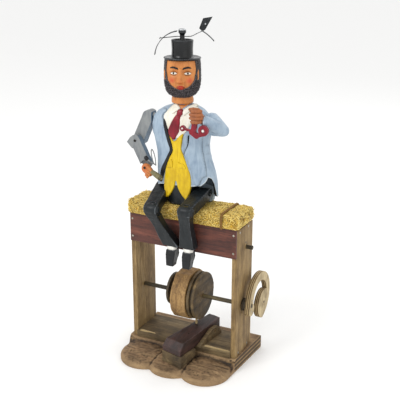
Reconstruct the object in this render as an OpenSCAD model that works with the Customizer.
// Hand-cranked wooden whirligig: a seated figure in a top hat on a straw bale,
// carried by an open frame with a camshaft, a spiral crank and a rocking lever.
// Millimetres, +Z up, the figure faces -Y, the origin is under the middle of the frame.

/* [Stand] */
// Height of the carved ground plate at its back
ground_h = 19.5; // [17:0.5:21]
// Height of the ground plate's front rim
rim_h = 6; // [4:1:9]
// Width over the outer faces of the uprights
frame_w = 172; // [168:1:176]
// Depth of the uprights
frame_d = 56; // [52:1:58]
// Thickness of the uprights
board_t = 7.5; // [6:0.5:8]
// Top of the uprights
upright_top = 218; // [214:1:220]
// Thickness of the platform board between the uprights
platform_t = 10; // [8:0.5:10]
// Height of the front apron board
apron_h = 44; // [40:1:46]
// Thickness of the front apron board
apron_t = 4; // [3:0.5:5]

/* [Seat] */
// Height of the straw bale above the apron
bale_h = 21; // [18:1:22]
// Overhang of the bale at the crank's side
bale_over = 4; // [0:1:6]
// Width of the cord band round the bale
band_w = 4; // [3:0.5:6]

/* [Camshaft] */
// Radius of the dowel shaft
shaft_r = 3.175; // [3:0.025:3.3]
// Height of the shaft's centre line
shaft_z = 97.5; // [97:0.5:100]
// Distance of the shaft's centre line in front of the frame's middle
shaft_front = 4; // [2:1:6]
// Radius of the round part of the cam block
cam_r = 37.5; // [35:0.5:37.5]
// Radius of the grooved wheel's flanges
wheel_r = 36; // [33:0.5:36]
// Radius of the small follower disc
disc_r = 24.5; // [22:0.5:26]
// Thickness of the plywood crank
crank_t = 8; // [7:0.5:8]
// Outer radius of the crank's spiral
crank_r = 39.5; // [38:0.5:40]

/* [Lever] */
// Width of the lever bar at its back end
lever_back_w = 21; // [19:1:22]
// Width of the lever bar at its front end
lever_front_w = 34; // [30:1:36]
// Thickness of the lever bar
lever_t = 19; // [17:0.5:19.5]
// Sideways set of the lever bar in degrees
lever_yaw = 13; // [11:1:14]

/* [Figure] */
// Sideways place of the figure's centre line
figure_x = -11; // [-12:0.5:-10]
// Height of the neck's gap
neck_z = 387; // [386:0.5:388]
// Radius of the hat's brim
brim_r = 28; // [26:0.5:29]
// Outer radius of the hat's crown
crown_r = 16.6; // [16:0.2:18]
// Height of the hat's open top
hat_top = 476; // [474:1:477]
// Radius of the wood dowel pins
dowel_r = 3; // [2.8:0.1:3.2]
// Radius of the nails that the arm and knees turn on
nail_r = 1; // [0.9:0.1:1.1]

/* [Hidden] */
// Radial clearance of a turning fit
run = 0.05;
// Smooth segment counts
$fn = 48;
hull_fn = 28;
outer_x = frame_w / 2;
inner_x = outer_x - board_t;
half_d = frame_d / 2;
deck_z = ground_h + platform_t;
apron_top = upright_top + 4;
shaft_y = -shaft_front;
seat_z = apron_top + bale_h;
bale_front = -37;
bale_back = 23;
cam_x = [-15, 9];
wheel_x = [11, 22.5];
disc_x = [-28, -24];
crank_x = outer_x + 6.5;
crank_c = [29, 97];
crank_disc_c = [45, 81];
crank_disc_r = 22.5;
lever_pivot = [21.5, 6, 40.5];
lever_front = -80;
lever_back = 22;
lever_taper = atan((lever_front_w - lever_back_w) / 2 / (lever_back - lever_front));
lever_mid_w = lever_back_w + 2 * lever_back * tan(lever_taper);
figure_y = -4;
head_c = [figure_x, figure_y, 421];
brim_z = 449.5;
hub_z = [452.6, 489];
rotor_yaw = 25;
arm_r = 0.6;
arm_z = 478.2;
shoulder_z = 366;
right_shoulder = [-58, -6, shoulder_z];
right_elbow = [-79.5, -12, 328.5];
right_wrist = [-61.5, -12, 291.5];
left_shoulder = [31, -4, shoulder_z];
left_elbow = [55, -12, 355];
left_wrist = [39, -37, 372];
left_fist = [31, -44, 379];
right_hip = [-41, -8, 260];
left_hip = [24, -8, 260];
right_knee = [-33, -57, 242.5];
left_knee = [19, -54, 245];
right_foot_x = -9;
left_foot_x = 17;
hip_r = 8;
knee_r = 7.8;

// ---------- helpers ----------

// A round bar between two points
module rod(a, b, r) {
    v = b - a;
    tilt = acos(v[2] / norm(v));
    turn = atan2(v[1], v[0]);
    translate(a) rotate([0, tilt, turn]) cylinder(r = r, h = norm(v));
}

// A cylinder along +X that starts at point p
module x_rod(p, r, length) {
    translate(p) rotate([0, 90, 0]) cylinder(r = r, h = length);
}

// A cylinder along +Y that starts at point p
module y_rod(p, r, length) {
    translate(p) rotate([-90, 0, 0]) cylinder(r = r, h = length);
}

// A flat stroke with round ends between two points of a plane
module stroke(a, b, w) {
    v = b - a;
    side = w * 0.98;
    translate(a) rotate(atan2(v[1], v[0])) translate([0, -side / 2]) square([norm(v), side]);
    translate(a) circle(d = w);
    translate(b) circle(d = w);
}

// A profile drawn in Y and Z, extruded from x0 to x1
module yz_plate(x0, x1) {
    translate([x0, 0, 0]) rotate([90, 0, 90]) linear_extrude(x1 - x0) children();
}

// A profile drawn in X and Z, extruded from y0 back to y1
module xz_plate(y0, y1) {
    translate([0, y1, 0]) rotate([90, 0, 0]) linear_extrude(y1 - y0) children();
}

// A flat elliptical slice, used to loft carved shapes
module slice(c, rx, ry, h = 0.4) {
    translate(c) scale([rx, ry, 1]) cylinder(r = 1, h = h, $fn = hull_fn);
}

// A nail with a low round head, driven along dir from the surface point p
module nail(p, dir, length, r = 0.9, head = 1.7) {
    rod(p, p + dir * length, r);
    rod(p - dir * 0.7, p, head);
}

// ---------- stand ----------

module ground_outline() {
    polygon([[-91, -48], [86, -52], [94, 54], [-91, 54]]);
    translate([-52, -48]) circle(r = 39.5, $fn = 96);
    translate([-2, -52]) circle(r = 39, $fn = 96);
    translate([49, -52]) circle(r = 37.5, $fn = 96);
}

module ground_plate() {
    rim_y = -92;
    color("#8a6f50")
    intersection() {
        linear_extrude(ground_h) ground_outline();
        yz_plate(-100, 100)
            polygon([[56, 0], [56, ground_h], [-half_d - 6, ground_h],
                     [-60, ground_h - 5], [rim_y, rim_h], [rim_y, 0]]);
    }
}

module platform() {
    color("#857350")
    translate([-inner_x, -half_d - 3.5, ground_h]) cube([2 * inner_x, frame_d + 3.5, platform_t]);
}

module upright(side) {
    difference() {
        translate([side > 0 ? inner_x : -outer_x, -half_d, ground_h])
            cube([board_t, frame_d, upright_top - ground_h]);
        x_rod([side > 0 ? inner_x - 1 : -outer_x - 1, shaft_y, shaft_z], shaft_r + run, board_t + 2);
    }
}

module left_upright() {
    color("#a98f5f") upright(-1);
}

module right_upright() {
    color("#a98f5f") upright(1);
}

module front_apron() {
    color("#6b3a2c")
    translate([-outer_x + 1, -half_d - apron_t, apron_top - apron_h])
        cube([frame_w - 1, apron_t, apron_h]);
}

module apron_nails() {
    color("#b9b2a3")
    for (x = [-outer_x + 5, outer_x - 4], z = [apron_top - 9, apron_top - apron_h + 8])
        nail([x, -half_d - apron_t, z], [0, 1, 0], 12);
}

module upright_nails() {
    color("#8d8576")
    for (s = [-1, 1], p = [[-18, upright_top - 4.5], [12, upright_top - 4.5],
                           [-18, deck_z - 5], [14, deck_z - 5]])
        nail([s * outer_x, p[0], p[1]], [-s, 0, p[1] > 100 ? 0.35 : 0], 11);
}

module stop_peg() {
    color("#6f5f40") x_rod([outer_x - 5, 6, 184], 3, 15);
}

// Rounded section of the bale, seen along X
module bale_section(grow = 0) {
    r = 8 + grow;
    top = seat_z + grow;
    translate([bale_front + 8, top - r]) circle(r = r);
    translate([bale_back - 8, top - r]) circle(r = r);
    translate([bale_front + 8, apron_top + 0.2]) square([bale_back - bale_front - 16, top - apron_top - 0.2]);
    translate([bale_front - grow, apron_top + 0.2])
        square([bale_back - bale_front + 2 * grow, top - r - apron_top - 0.2]);
}

module straw_bale() {
    x0 = -outer_x;
    x1 = outer_x + bale_over;
    color("#cdb24a")
    difference() {
        union() {
            yz_plate(x0, x1) bale_section();
            translate([x0, -half_d + 0.2, upright_top])
                cube([frame_w, bale_back + half_d - 0.2, 5]);
        }
        translate([figure_x, 2, seat_z - 14]) cylinder(r = dowel_r, h = 20);
        yz_plate(63, 63 + band_w)
            difference() {
                bale_section(1);
                bale_section(-1);
            }
    }
}

module bale_band() {
    color("#7c5a36")
    yz_plate(63, 63 + band_w)
        difference() {
            bale_section(0.6);
            bale_section(-1);
        }
}

module seat_dowel() {
    color("#b79b6b") translate([figure_x, 2, seat_z - 14]) cylinder(r = dowel_r, h = 26);
}

// ---------- camshaft ----------

module crank_shaft() {
    color("#5f5a42") x_rod([-outer_x - 1.5, shaft_y, shaft_z], shaft_r, crank_x + crank_t + outer_x + 2);
}

module shaft_hole(x0, x1) {
    x_rod([x0 - 1, shaft_y, shaft_z], shaft_r, x1 - x0 + 2);
}

// Where a line from corner p touches a circle round the origin, on side sgn
function touch(p, r, sgn) =
    let (a = atan2(p[1], p[0]) + sgn * acos(r / norm(p))) 0.998 * r * [cos(a), sin(a)];

// Round cam with a squared-off, flat top
module cam_block() {
    front = [-17, 36.5];
    back = [13, 36.5];
    color("#b08d58")
    difference() {
        yz_plate(cam_x[0], cam_x[1]) translate([shaft_y, shaft_z]) {
            circle(r = cam_r, $fn = 96);
            polygon([[0, -10], touch(back, cam_r, -1), back, front, touch(front, cam_r, 1)]);
        }
        shaft_hole(cam_x[0], cam_x[1]);
    }
}

module grooved_wheel() {
    flange = 4;
    color("#857350")
    difference() {
        union() {
            x_rod([wheel_x[0], shaft_y, shaft_z], wheel_r, flange, $fn = 96);
            x_rod([wheel_x[1] - flange, shaft_y, shaft_z], wheel_r, flange, $fn = 96);
            x_rod([wheel_x[0], shaft_y, shaft_z], wheel_r - 4, wheel_x[1] - wheel_x[0], $fn = 96);
        }
        shaft_hole(wheel_x[0], wheel_x[1]);
    }
}

module follower_disc() {
    color("#4a3f2a")
    difference() {
        x_rod([disc_x[0], shaft_y - 1, shaft_z + 3.5], disc_r, disc_x[1] - disc_x[0], $fn = 96);
        shaft_hole(disc_x[0], disc_x[1]);
    }
}

module shaft_collar() {
    color("#4b4230")
    difference() {
        x_rod([outer_x + 0.6, shaft_y, shaft_z], 9, 5.9);
        shaft_hole(outer_x, crank_x);
    }
}

// Plywood spiral: a broad ring that runs from the shaft's lobe over the top into a round grip
module crank_profile() {
    ring_w = 13;
    cut_z = 92;
    difference() {
        translate(crank_c) circle(r = crank_r, $fn = 96);
        translate(crank_c) circle(r = crank_r - ring_w, $fn = 96);
        polygon([[-30, cut_z], [40, cut_z], [60, 85], [80, 85], [80, 40], [-30, 40]]);
    }
    intersection() {
        translate(crank_c) circle(r = crank_r, $fn = 96);
        translate(crank_disc_c) circle(r = crank_disc_r, $fn = 96);
    }
    translate([-3.4, 90.5]) circle(r = 9.6, $fn = 96);
}

module spiral_crank() {
    color("#c2ac84")
    difference() {
        yz_plate(crank_x, crank_x + crank_t) crank_profile();
        shaft_hole(crank_x, crank_x + crank_t);
    }
}

module crank_nails() {
    color("#6a6355")
    for (p = [[-2, shaft_z + 7.5], [-5, shaft_z - 8.5]])
        nail([crank_x + crank_t, p[0], p[1]], [-1, 0, 0], 6, 0.8, 1.3);
}

// ---------- lever ----------

// Places a child in the lever's own frame, with +Y towards the back
module at_lever() {
    translate(lever_pivot) rotate([0, 0, -lever_yaw]) children();
}

// Tapered pedal bar with a bevelled nose, its front a little lower than its back
module lever_bar() {
    nose = 9;
    top = lever_t - 8;
    color("#4f3b33")
    at_lever() difference() {
        intersection() {
            yz_plate(-30, 30)
                polygon([[lever_back, -8], [lever_back, top], [lever_front + nose, top - 4],
                         [lever_front, top - 13], [lever_front, -10.4], [lever_front + 34, -10.4]]);
            translate([0, 0, -30]) linear_extrude(60)
                polygon([[-lever_back_w / 2, lever_back], [lever_back_w / 2, lever_back],
                         [lever_front_w / 2, lever_front], [-lever_front_w / 2, lever_front]]);
        }
        x_rod([-lever_mid_w, 0, 0], dowel_r - 0.5, 2 * lever_mid_w);
    }
}

module lever_pin() {
    color("#9a8357") at_lever() x_rod([-lever_mid_w / 2 - 6, 0, 0], dowel_r - 0.5, lever_mid_w + 12);
}

module lever_peg() {
    color("#cdbb8e") at_lever() translate([-7, -14, 3]) cylinder(r = 1.6, h = 14);
}

// A wedge-ended strip beside the bar, parallel to its tapering edge
module cheek(side) {
    t = 6;
    gap = 0.5;
    low = deck_z - lever_pivot[2];
    at_lever() difference() {
        translate([side * (lever_mid_w / 2 + gap), 0, 0]) rotate([0, 0, side * lever_taper])
            translate([side > 0 ? 0 : -t, 0, 0])
                yz_plate(0, t)
                    polygon([[-40, low], [-36, low + 3], [-8, 5], [7, 5], [16, low + 5], [17, low]]);
        x_rod([-lever_mid_w, 0, 0], dowel_r - 0.5 + run, 2 * lever_mid_w);
    }
}

module left_cheek() {
    color("#7d6a48") cheek(-1);
}

module right_cheek() {
    color("#7d6a48") cheek(1);
}

module lever_rest() {
    top = 29.6;
    color("#a08a60")
    intersection() {
        at_lever() translate([-lever_front_w / 2 - 1, lever_front, -30]) cube([lever_front_w + 2, 34, 60]);
        yz_plate(-60, 60)
            polygon([[-half_d - 4, ground_h], [-half_d - 4, top], [-90, top], [-90, rim_h + 0.5],
                     [-60, ground_h - 5], [-half_d - 6, ground_h]]);
    }
}

// ---------- figure: body and head ----------

module torso() {
    levels = [
        [[-7, 1, 262], 45, 22], [[-9, 0, 290], 43, 23], [[-12, -1, 318], 40, 21],
        [[-14, -2, 345], 44, 23], [[-13, -2, 368], 42, 19], [[-11, -3, 380], 23, 14],
        [[figure_x, figure_y, neck_z - 1.4], 14, 11]
    ];
    color("#9fb3c4")
    difference() {
        union() {
            for (i = [0 : len(levels) - 2]) hull() {
                slice(levels[i][0], levels[i][1], levels[i][2]);
                slice(levels[i + 1][0], levels[i + 1][1], levels[i + 1][2]);
            }
            translate([-29.5, -12, seat_z + 0.2]) cube([42, 30, 24]);
            translate([-26, -26, seat_z + 0.2]) cube([36, 20, 24]);
            translate([-46, 4, seat_z + 0.2]) cube([78, 16, 28]);
        }
        translate([figure_x, figure_y, neck_z - 18]) cylinder(r = dowel_r + 1, h = 30);
        translate([figure_x, 2, seat_z]) cylinder(r = dowel_r, h = 12);
        translate([-72, -20, shoulder_z - 13]) cube([15.5, 34, 26]);
        translate([30.5, -20, shoulder_z - 13]) cube([15, 34, 26]);
        x_rod([-70, right_shoulder[1], shoulder_z], dowel_r + run, 30);
        x_rod([10, left_shoulder[1], shoulder_z], dowel_r + run, 40);
        x_rod([-60, right_hip[1], right_hip[2]], dowel_r + run, 46);
        x_rod([0, left_hip[1], left_hip[2]], dowel_r + run, 60);
        translate([-60, -40, seat_z - 4]) cube([31.8, 44, 32]);
        translate([12.2, -40, seat_z - 4]) cube([60, 44, 32]);
        translate([-60, -40, seat_z - 4]) cube([33.7, 27.5, 32]);
        translate([10.3, -40, seat_z - 4]) cube([60, 27.5, 32]);
    }
}

module neck_dowel() {
    color("#b79b6b") translate([figure_x, figure_y, neck_z - 18]) cylinder(r = dowel_r + 1, h = 32);
}

module head() {
    color("#d98a4a")
    difference() {
        union() {
            translate([figure_x, figure_y, neck_z]) cylinder(r = 15.5, h = 20);
            hull() {
                translate(head_c + [0, 0, 3]) scale([27, 25, 25]) sphere(r = 1, $fn = hull_fn);
                translate(head_c + [0, -2, -10]) scale([24, 23, 17]) sphere(r = 1, $fn = hull_fn);
            }
            translate(head_c + [-4, -30, -6]) cube([8, 9, 13]);
        }
        translate([figure_x, figure_y, neck_z - 1]) cylinder(r = dowel_r + 1 + run, h = 16);
        translate([figure_x - 40, figure_y - 40, brim_z - 2]) cube([80, 80, 20]);
        translate([figure_x, figure_y, 432]) cylinder(r = 1.5, h = 30);
    }
}

module top_hat() {
    wall = 2.4;
    color("#15181a")
    translate([figure_x, figure_y, 0])
        difference() {
            rotate_extrude($fn = 72)
                polygon([[0, brim_z - 2], [brim_r - 1, brim_z - 2], [brim_r, brim_z - 0.6], [brim_r - 0.6, brim_z + 1],
                         [crown_r + 1.4, brim_z + 0.6], [crown_r - 0.8, brim_z + 5], [crown_r, hat_top],
                         [crown_r - wall, hat_top], [crown_r - wall - 0.8, brim_z + 2.6], [0, brim_z + 2.6]]);
            translate([0, 0, brim_z - 3]) cylinder(r = 1.5, h = 8);
        }
}

module hat_axle() {
    color("#9c9ea0") translate([figure_x, figure_y, 432]) cylinder(r = 1.5, h = 54);
}

// ---------- wind rotor ----------

module rotor_hub() {
    top = hub_z[1] - 2.6;
    color("#1b1c1d")
    translate([figure_x, figure_y, 0])
        difference() {
            rotate_extrude()
                polygon([[0, hub_z[0]], [6.5, hub_z[0]], [7, 466], [4, 473], [3.2, 479.5], [5.3, 483],
                         [5.3, top], [0, top]]);
            translate([0, 0, hub_z[0] - 1]) cylinder(r = 1.5 + run, h = 40);
            rotate([0, 0, rotor_yaw]) x_rod([-10, 0, arm_z], arm_r, 20);
        }
}

module rotor_cap() {
    color("#c9cbcc")
    translate([figure_x, figure_y, hub_z[1] - 2.6]) cylinder(r1 = 5.3, r2 = 4.7, h = 2.6);
}

// Places a child in the rotor's own frame: +X along the right-hand arm, origin on the axle
module at_rotor() {
    translate([figure_x, figure_y, arm_z]) rotate([0, 0, rotor_yaw]) children();
}

// Wire arms: the left one straight, the right one bent up over the crown's rim
module rotor_arms() {
    color("#8b8d8e")
    at_rotor() {
        rod([-30.6, 0, -2.4], [-9, 0, 0], arm_r);
        rod([-9, 0, 0], [-1.6, 0, 0], arm_r);
        translate([-9, 0, 0]) sphere(r = arm_r);
        rod([1.6, 0, 0], [13, 0, 0], arm_r);
        translate([13, 0, 0]) sphere(r = arm_r);
        rod([13, 0, 0], [27.4, 0, 7.6], arm_r);
    }
}

// A bent strip of tin: an arc round c from angle a0 to a1, w wide across the rotor's plane
module vane_arc(c, r, a0, a1, w) {
    steps = 12;
    half_t = 0.4;
    angles = [for (i = [0 : steps]) a0 + (a1 - a0) * i / steps];
    xz_plate(-w / 2, w / 2)
        translate(c) polygon(concat(
            [for (a = angles) (r + half_t) * [cos(a), sin(a)]],
            [for (i = [steps : -1 : 0]) (r - half_t) * [cos(angles[i]), sin(angles[i])]]));
}

module left_vane() {
    color("#2a2b2c") at_rotor() vane_arc([-2, -28.5], 36, 98, 174, 12);
}

// Twisted strip: its lower half edge-on to the rotor's plane, its upper half in that plane
module right_vane() {
    color("#2a2b2c")
    at_rotor() {
        vane_arc([-2.6, -44.5], 60, 40, 60, 9);
        xz_plate(-0.4, 0.4)
            polygon([[27.2, 6.8], [31.3, 9.2], [41.2, 26.6], [28.3, 24.5], [22.9, 11]]);
    }
}

// ---------- right arm ----------

// A flat limb board in X and Z between two points, from y0 to y1
module limb_board(a, b, w, y0, y1) {
    xz_plate(y0, y1) stroke([a[0], a[2]], [b[0], b[2]], w);
}

module right_upper_arm() {
    color("#8a8d8c")
    difference() {
        limb_board(right_shoulder + [-5, 0, -2], right_elbow, 18, -13, 2);
        translate([-56.9, -20, 345]) cube([30, 40, 45]);
        x_rod([-68, right_shoulder[1], shoulder_z], dowel_r, 20);
        y_rod(right_elbow + [0, -12, 0], nail_r, 20);
    }
}

module right_shoulder_pin() {
    color("#b79b6b") x_rod([-68, right_shoulder[1], shoulder_z], dowel_r, 27);
}

module right_forearm() {
    color("#8f9295")
    difference() {
        union() {
            limb_board(right_elbow, right_wrist + [-2, 0, 6], 17, -22, -13.2);
            xz_plate(-22, -13.2)
                polygon([[right_elbow[0] - 14, right_elbow[2] - 3], [right_elbow[0] - 8, right_elbow[2] + 4.5],
                         [right_elbow[0] + 4, right_elbow[2] + 8],
                         [right_elbow[0] + 8, right_elbow[2] - 8], [right_elbow[0] - 5, right_elbow[2] - 12]]);
        }
        y_rod(right_elbow + [0, -12, 0], nail_r + run, 20);
        y_rod(right_wrist + [0, -12, 0], nail_r, 20);
        y_rod([right_wrist[0], -24, right_wrist[2]], 10.5, 7.4);
    }
}

module right_elbow_nail() {
    color("#3a3a38") {
        y_rod(right_elbow + [0, -10.5, 0], nail_r, 16);
        y_rod(right_elbow + [0, -10.9, 0], 1.9, 0.8);
    }
}

module right_hand() {
    color("#d98a4a")
    difference() {
        hull() {
            translate(right_wrist + [-1, -9.5, -2]) scale([8, 4.5, 7.5]) sphere(r = 1, $fn = hull_fn);
            translate(right_wrist + [6, -10, -6]) scale([8, 5.5, 8]) sphere(r = 1, $fn = hull_fn);
        }
        y_rod(right_wrist + [0, -20, 0], nail_r + run, 40);
    }
}

module right_wrist_nail() {
    color("#3a3a38") {
        y_rod(right_wrist + [0, -15, 0], nail_r, 13);
        y_rod(right_wrist + [0, -15.6, 0], 1.9, 0.8);
    }
}

module tool_barrel() {
    color("#3f3b26") rod([-51, -24.5, 288], [-33, -30, 280.5], 4);
}

module tool_frame() {
    color("#6d675c") {
        rod([-57, -25, 305], [-43, -25, 298], 0.8);
        rod([-43, -25, 298], [-48, -25, 320], 0.7);
    }
}

module tool_knob() {
    color("#1c1c1b") translate([-58.5, -26.4, 306]) sphere(r = 3.6);
}

// ---------- left arm ----------

module left_sleeve() {
    color("#9fb3c4")
    difference() {
        union() {
            hull() {
                x_rod([31, left_shoulder[1], shoulder_z - 5], 16, 6, $fn = hull_fn);
                translate(left_elbow) sphere(r = 8.5, $fn = hull_fn);
            }
            hull() {
                translate(left_elbow) sphere(r = 8.5, $fn = hull_fn);
                translate(left_wrist) sphere(r = 8, $fn = hull_fn);
            }
        }
        x_rod([10, left_shoulder[1], shoulder_z], dowel_r, 32);
        rod(left_wrist + [0, 0, -1], left_fist, 4);
        translate([left_fist[0] - 12, left_fist[1] - 12, left_fist[2] - 14]) cube([21, 19.1, 28]);
    }
}

module left_shoulder_pin() {
    color("#b79b6b") x_rod([14, left_shoulder[1], shoulder_z], dowel_r, 28);
}

module left_hand() {
    color("#b06a3f") {
        hull() {
            translate(left_fist + [-2.5, -1, 4]) scale([9, 8, 7]) sphere(r = 1, $fn = hull_fn);
            translate(left_fist + [-1, -1, -3]) scale([8, 8, 7.5]) sphere(r = 1, $fn = hull_fn);
        }
        rod(left_wrist + [0, 0, -1], left_fist, 4);
    }
}

// Flat cut-out: a stem, a deep bowl curve, and a ring at each end
module scroll_pipe() {
    p = [left_fist[0] - 1, left_fist[2]];
    color("#8e1a2b")
    xz_plate(-48, -43) {
        difference() {
            union() {
                translate(p + [12, -18.5]) circle(r = 7.3);
                translate(p + [-19, -18]) circle(r = 4);
                stroke(p + [-1, -10], p + [-3, -21], 7.5);
                stroke(p + [-3, -21], p + [-15, -19], 3);
                stroke(p + [-5, -22], p + [2, -26.5], 7.5);
                stroke(p + [2, -26.5], p + [12, -23], 5.5);
            }
            translate(p + [12, -18.5]) circle(r = 2.4);
            translate(p + [-19, -18]) circle(r = 1.4);
        }
    }
}

// ---------- legs ----------

// Thigh board with round ends and a fork for the knee
module thigh(hip, knee) {
    difference() {
        hull() {
            x_rod([hip[0] - 10, hip[1], hip[2]], hip_r, 20, $fn = hull_fn);
            x_rod([knee[0] - 9.5, knee[1], knee[2]], knee_r, 19, $fn = hull_fn);
        }
        x_rod([knee[0] - 4.3, knee[1], knee[2]], 9.5, 8.6);
        x_rod([hip[0] - 15, hip[1], hip[2]], dowel_r, 30);
        x_rod([knee[0] - 15, knee[1], knee[2]], nail_r, 30);
    }
}

// Trouser leg below the knee: a tongue in the thigh's fork, a hollow seat round its end, a flared cuff
module shin(knee, foot_x) {
    cuff_z = 187;
    seat_r = knee_r + 0.7;
    thigh_slope = 18;
    difference() {
        union() {
            difference() {
                hull() {
                    translate([knee[0] - 9.5, knee[1] - 8, knee[2] - 5]) cube([19, 16, 2]);
                    translate([foot_x - 11, -48.5, cuff_z]) cube([22, 14, 2]);
                }
                x_rod([knee[0] - 15, knee[1], knee[2]], seat_r, 30);
                translate([knee[0] - 15, knee[1], knee[2] - seat_r - 0.3]) rotate([thigh_slope, 0, 0])
                    cube([30, 20, 20]);
            }
            x_rod([knee[0] - 4, knee[1], knee[2]], 6.8, 8);
            translate([knee[0] - 4, knee[1] - 6, knee[2] - 13]) cube([8, 12, 13]);
        }
        x_rod([knee[0] - 15, knee[1], knee[2]], nail_r + run, 30);
        translate([foot_x, -42, cuff_z - 1]) cylinder(r = 3, h = 10);
    }
}

module foot(foot_x) {
    translate([foot_x, -42, 0]) {
        translate([0, 0, 182]) cylinder(r = 3, h = 13);
        hull() {
            translate([-6, -6, 181]) cube([12, 12, 5.9]);
            translate([-7, -8, 173]) cube([14, 15, 2]);
            translate([-5.5, -9.5, 158]) cube([11, 11, 5]);
        }
    }
}

module hip_pin(x0, x1, hip) {
    x_rod([x0, hip[1], hip[2]], dowel_r, x1 - x0);
}

module right_thigh() {
    color("#20262a") thigh(right_hip, right_knee);
}

module left_thigh() {
    color("#20262a") thigh(left_hip, left_knee);
}

module right_hip_pin() {
    color("#2a2d2f") hip_pin(-53, -18, right_hip);
}

module left_hip_pin() {
    color("#2a2d2f") hip_pin(2, 36, left_hip);
}

module right_shin() {
    color("#20262a") shin(right_knee, right_foot_x);
}

module left_shin() {
    color("#20262a") shin(left_knee, left_foot_x);
}

module right_knee_nail() {
    color("#3a3a38") x_rod([right_knee[0] - 9.5, right_knee[1], right_knee[2]], nail_r, 19);
}

module left_knee_nail() {
    color("#3a3a38") x_rod([left_knee[0] - 9.5, left_knee[1], left_knee[2]], nail_r, 19);
}

module right_foot() {
    color("#191b1d") foot(right_foot_x);
}

module left_foot() {
    color("#191b1d") foot(left_foot_x);
}

// ---------- nodes ----------

ground_plate();
platform();
left_upright();
right_upright();
front_apron();
straw_bale();
bale_band();
apron_nails();
upright_nails();
stop_peg();
seat_dowel();
crank_shaft();
cam_block();
grooved_wheel();
follower_disc();
shaft_collar();
spiral_crank();
crank_nails();
lever_bar();
lever_pin();
lever_peg();
left_cheek();
right_cheek();
lever_rest();
torso();
neck_dowel();
head();
top_hat();
hat_axle();
rotor_hub();
rotor_cap();
rotor_arms();
right_vane();
left_vane();
right_upper_arm();
right_shoulder_pin();
right_forearm();
right_elbow_nail();
right_hand();
right_wrist_nail();
tool_barrel();
tool_frame();
tool_knob();
left_sleeve();
left_shoulder_pin();
left_hand();
scroll_pipe();
right_thigh();
right_hip_pin();
right_shin();
right_knee_nail();
right_foot();
left_thigh();
left_hip_pin();
left_shin();
left_knee_nail();
left_foot();
